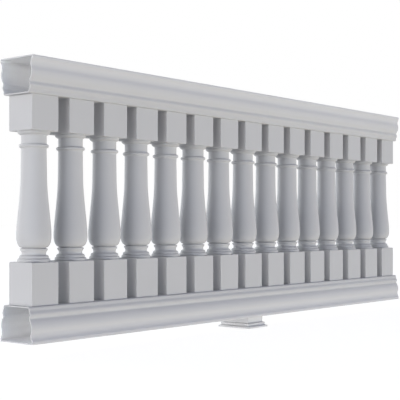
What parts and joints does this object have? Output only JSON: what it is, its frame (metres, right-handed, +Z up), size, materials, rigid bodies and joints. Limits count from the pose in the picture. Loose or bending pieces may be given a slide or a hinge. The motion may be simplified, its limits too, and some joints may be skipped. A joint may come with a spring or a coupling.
{
  "type": "fiberglass balustrade panel",
  "caption": "Straight balustrade panel: vase-shaped balusters with square blocks between two hollow moulded rails, with a support block under the middle of the bottom rail.",
  "frame": {"origin": "centre of the support's underside, in the middle of the panel's length and depth, at floor level", "axes": "+X along the rails, +Y from the front face to the back, +Z up"},
  "size_m": [2.683, 0.177, 1.072],
  "materials": {
    "rail_gelcoat": "satin white gelcoat on pultruded fiberglass",
    "baluster_gelcoat": "satin white gelcoat on moulded fiberglass",
    "support_gelcoat": "satin white gelcoat on moulded fiberglass"
  },
  "bodies": {
    "root": {"top_rail": "rail_gelcoat", "bottom_rail": "rail_gelcoat", "support_block": "support_gelcoat", "support_base": "support_gelcoat", "baluster_01": "baluster_gelcoat", "baluster_02": "baluster_gelcoat", "baluster_03": "baluster_gelcoat", "baluster_04": "baluster_gelcoat", "baluster_05": "baluster_gelcoat", "baluster_06": "baluster_gelcoat", "baluster_07": "baluster_gelcoat", "baluster_08": "baluster_gelcoat", "baluster_09": "baluster_gelcoat", "baluster_10": "baluster_gelcoat", "baluster_11": "baluster_gelcoat", "baluster_12": "baluster_gelcoat", "baluster_13": "baluster_gelcoat", "baluster_14": "baluster_gelcoat", "baluster_15": "baluster_gelcoat"}
  },
  "joints": []
}
